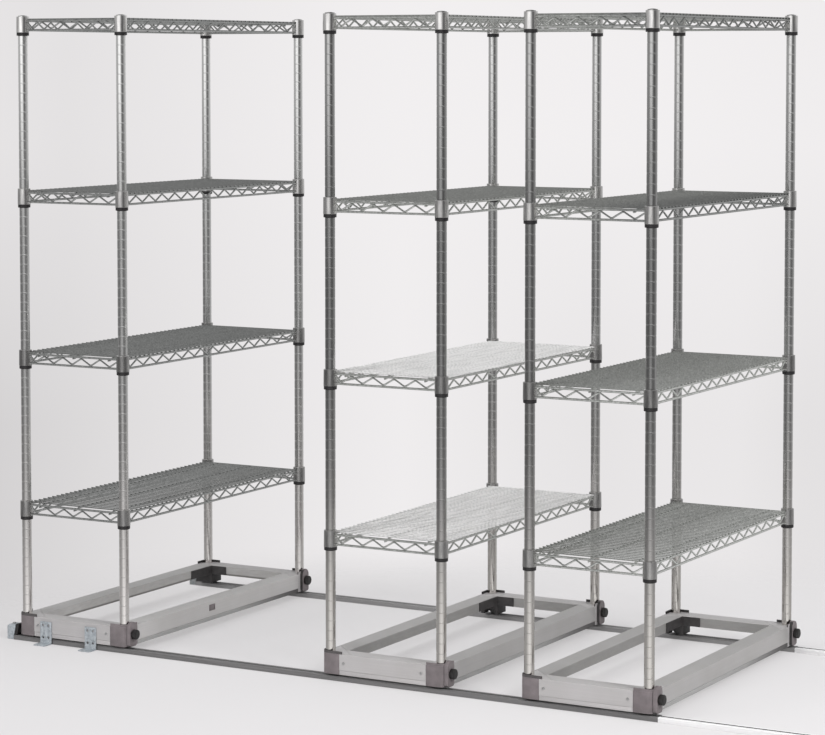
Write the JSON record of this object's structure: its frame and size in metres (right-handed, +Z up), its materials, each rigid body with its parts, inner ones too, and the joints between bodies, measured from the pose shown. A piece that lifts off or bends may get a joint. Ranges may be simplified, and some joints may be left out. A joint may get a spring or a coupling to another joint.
{
  "type": "compact mobile shelving",
  "caption": "Wire-shelf units standing on a pair of floor tracks: one is fixed and the others roll sideways on flanged wheels to open an aisle between them.",
  "frame": {"origin": "on the floor under the axis of the fixed unit's front left post, in the middle of the front track's underside", "axes": "+X along the tracks towards the free end, +Y from the front track to the rear track, +Z up"},
  "size_m": [2.51, 0.9443, 1.678],
  "materials": {
    "zinc_plated_post": "satin zinc-plated tube with a fine lengthwise sheen",
    "bright_wire": "bright plated welded wire, slightly dulled",
    "anodised_rail": "satin anodised extrusion",
    "cast_grey": "dark grey-brown powder coat on a casting",
    "black_rubber": "matt black rubber",
    "roller_nylon": "dark satin roller",
    "track_grey": "dark anodised extrusion",
    "galvanised_steel": "mottled galvanised sheet"
  },
  "bodies": {
    "tracks": {"front_track": "track_grey", "rear_track": "track_grey", "front_end_stop": "galvanised_steel", "rear_end_stop": "galvanised_steel", "left_floor_bracket": "galvanised_steel", "right_floor_bracket": "galvanised_steel", "fixed_base_rails": "anodised_rail", "fixed_shelf_1": "bright_wire", "fixed_shelf_2": "bright_wire", "fixed_shelf_3": "bright_wire", "fixed_shelf_4": "bright_wire", "fixed_front_left_post": "zinc_plated_post", "fixed_front_left_casting": "cast_grey", "fixed_front_right_post": "zinc_plated_post", "fixed_front_right_casting": "cast_grey", "fixed_front_right_bumper": "black_rubber", "fixed_rear_left_post": "zinc_plated_post", "fixed_rear_left_casting": "cast_grey", "fixed_rear_right_post": "zinc_plated_post", "fixed_rear_right_casting": "cast_grey", "fixed_rear_right_bumper": "black_rubber"},
    "middle_carriage": {"middle_base_rails": "anodised_rail", "middle_shelf_1": "bright_wire", "middle_shelf_2": "bright_wire", "middle_shelf_3": "bright_wire", "middle_shelf_4": "bright_wire", "middle_front_left_post": "zinc_plated_post", "middle_front_left_casting": "cast_grey", "middle_front_right_post": "zinc_plated_post", "middle_front_right_casting": "cast_grey", "middle_front_right_bumper": "black_rubber", "middle_rear_left_post": "zinc_plated_post", "middle_rear_left_casting": "cast_grey", "middle_rear_right_post": "zinc_plated_post", "middle_rear_right_casting": "cast_grey", "middle_rear_right_bumper": "black_rubber"},
    "middle_front_left_roller": {"middle_front_left_wheel": "roller_nylon"},
    "middle_front_right_roller": {"middle_front_right_wheel": "roller_nylon"},
    "middle_rear_left_roller": {"middle_rear_left_wheel": "roller_nylon"},
    "middle_rear_right_roller": {"middle_rear_right_wheel": "roller_nylon"},
    "end_carriage": {"end_base_rails": "anodised_rail", "end_shelf_1": "bright_wire", "end_shelf_2": "bright_wire", "end_shelf_3": "bright_wire", "end_shelf_4": "bright_wire", "end_front_left_post": "zinc_plated_post", "end_front_left_casting": "cast_grey", "end_front_right_post": "zinc_plated_post", "end_front_right_casting": "cast_grey", "end_front_right_bumper": "black_rubber", "end_rear_left_post": "zinc_plated_post", "end_rear_left_casting": "cast_grey", "end_rear_right_post": "zinc_plated_post", "end_rear_right_casting": "cast_grey", "end_rear_right_bumper": "black_rubber"},
    "end_front_left_roller": {"end_front_left_wheel": "roller_nylon"},
    "end_front_right_roller": {"end_front_right_wheel": "roller_nylon"},
    "end_rear_left_roller": {"end_rear_left_wheel": "roller_nylon"},
    "end_rear_right_roller": {"end_rear_right_wheel": "roller_nylon"}
  },
  "joints": [
    {"name": "middle_slide", "type": "slide", "parent": "tracks", "child": "middle_carriage", "axis": [1, 0, 0], "range_m": [-0.577, 0]},
    {"name": "end_slide", "type": "slide", "parent": "tracks", "child": "end_carriage", "axis": [1, 0, 0], "range_m": [-0.185, 0.555]},
    {"name": "middle_front_left_roll", "type": "hinge", "parent": "middle_carriage", "child": "middle_front_left_roller", "pos_m": [0.9625, 0, 0.0293], "axis": [0, 1, 0], "continuous": true},
    {"name": "middle_front_right_roll", "type": "hinge", "parent": "middle_carriage", "child": "middle_front_right_roller", "pos_m": [1.2605, 0, 0.0293], "axis": [0, 1, 0], "continuous": true},
    {"name": "middle_rear_left_roll", "type": "hinge", "parent": "middle_carriage", "child": "middle_rear_left_roller", "pos_m": [0.9625, 0.8764, 0.0293], "axis": [0, 1, 0], "continuous": true},
    {"name": "middle_rear_right_roll", "type": "hinge", "parent": "middle_carriage", "child": "middle_rear_right_roller", "pos_m": [1.2605, 0.8764, 0.0293], "axis": [0, 1, 0], "continuous": true},
    {"name": "end_front_left_roll", "type": "hinge", "parent": "end_carriage", "child": "end_front_left_roller", "pos_m": [1.523, 0, 0.0293], "axis": [0, 1, 0], "continuous": true},
    {"name": "end_front_right_roll", "type": "hinge", "parent": "end_carriage", "child": "end_front_right_roller", "pos_m": [1.821, 0, 0.0293], "axis": [0, 1, 0], "continuous": true},
    {"name": "end_rear_left_roll", "type": "hinge", "parent": "end_carriage", "child": "end_rear_left_roller", "pos_m": [1.523, 0.8764, 0.0293], "axis": [0, 1, 0], "continuous": true},
    {"name": "end_rear_right_roll", "type": "hinge", "parent": "end_carriage", "child": "end_rear_right_roller", "pos_m": [1.821, 0.8764, 0.0293], "axis": [0, 1, 0], "continuous": true}
  ],
  "couplings": [
    {"joint": "middle_front_left_roll", "follows": "middle_slide", "rad_per_m": 58.824},
    {"joint": "middle_front_right_roll", "follows": "middle_slide", "rad_per_m": 58.824},
    {"joint": "middle_rear_left_roll", "follows": "middle_slide", "rad_per_m": 58.824},
    {"joint": "middle_rear_right_roll", "follows": "middle_slide", "rad_per_m": 58.824},
    {"joint": "end_front_left_roll", "follows": "end_slide", "rad_per_m": 58.824},
    {"joint": "end_front_right_roll", "follows": "end_slide", "rad_per_m": 58.824},
    {"joint": "end_rear_left_roll", "follows": "end_slide", "rad_per_m": 58.824},
    {"joint": "end_rear_right_roll", "follows": "end_slide", "rad_per_m": 58.824}
  ]
}
